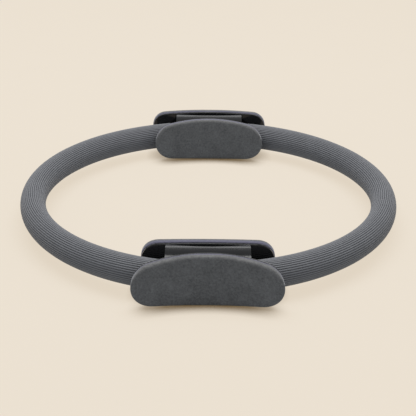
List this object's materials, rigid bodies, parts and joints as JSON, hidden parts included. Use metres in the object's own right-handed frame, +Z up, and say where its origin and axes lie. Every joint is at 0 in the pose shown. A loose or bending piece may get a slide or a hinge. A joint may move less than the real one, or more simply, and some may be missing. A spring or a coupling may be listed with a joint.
{
  "type": "pilates ring",
  "caption": "Springy exercise hoop with ribbed foam sleeves and two opposed padded handles that are squeezed together or pressed apart.",
  "frame": {"origin": "on the floor under the centre of the hoop, with the ring lying flat on its two handles", "axes": "+X to the right side of the hoop, +Y from the front handle to the rear handle, +Z up, square to the hoop"},
  "size_m": [0.3556, 0.3782, 0.0446],
  "materials": {
    "pad_foam": "matte",
    "sleeve_foam": "matte",
    "shell_plastic": "gloss",
    "spring_fibre": "satin",
    "steel": "satin"
  },
  "bodies": {
    "front_handle": {"front_outer_shell": "shell_plastic", "front_inner_shell": "shell_plastic", "front_outer_pad": "pad_foam", "front_inner_pad": "pad_foam", "front_clamp_plate": "steel", "front_shell_screws": "steel", "front_left_rivets": "steel", "front_right_rivets": "steel"},
    "rear_handle": {"rear_outer_shell": "shell_plastic", "rear_inner_shell": "shell_plastic", "rear_outer_pad": "pad_foam", "rear_inner_pad": "pad_foam", "rear_clamp_plate": "steel", "rear_shell_screws": "steel", "rear_left_rivets": "steel", "rear_right_rivets": "steel"},
    "left_sleeve_half": {"left_sleeve": "sleeve_foam"},
    "left_spring_half": {"left_outer_band": "spring_fibre", "left_inner_band": "spring_fibre"},
    "right_sleeve_half": {"right_sleeve": "sleeve_foam"},
    "right_spring_half": {"right_outer_band": "spring_fibre", "right_inner_band": "spring_fibre"}
  },
  "joints": [
    {"name": "squeeze", "type": "slide", "parent": "front_handle", "child": "rear_handle", "axis": [0, -1, 0], "range_m": [-0.02, 0.07], "stiffness_N_per_m": 1470, "deforming": ["left_sleeve", "left_outer_band", "left_inner_band", "right_sleeve", "right_outer_band", "right_inner_band"]},
    {"name": "left_sleeve_bow", "type": "slide", "parent": "front_handle", "child": "left_sleeve_half", "axis": [-0.6771, -0.7359, 0], "range_m": [-0.014, 0.048]},
    {"name": "left_spring_bow", "type": "slide", "parent": "rear_handle", "child": "left_spring_half", "axis": [-0.6771, 0.7359, 0], "range_m": [-0.014, 0.048]},
    {"name": "right_sleeve_bow", "type": "slide", "parent": "front_handle", "child": "right_sleeve_half", "axis": [0.6771, -0.7359, 0], "range_m": [-0.014, 0.048]},
    {"name": "right_spring_bow", "type": "slide", "parent": "rear_handle", "child": "right_spring_half", "axis": [0.6771, 0.7359, 0], "range_m": [-0.014, 0.048]}
  ],
  "couplings": [
    {"joint": "left_sleeve_bow", "follows": "squeeze", "ratio": 0.67941},
    {"joint": "left_spring_bow", "follows": "squeeze", "ratio": 0.67941},
    {"joint": "right_sleeve_bow", "follows": "squeeze", "ratio": 0.67941},
    {"joint": "right_spring_bow", "follows": "squeeze", "ratio": 0.67941}
  ]
}
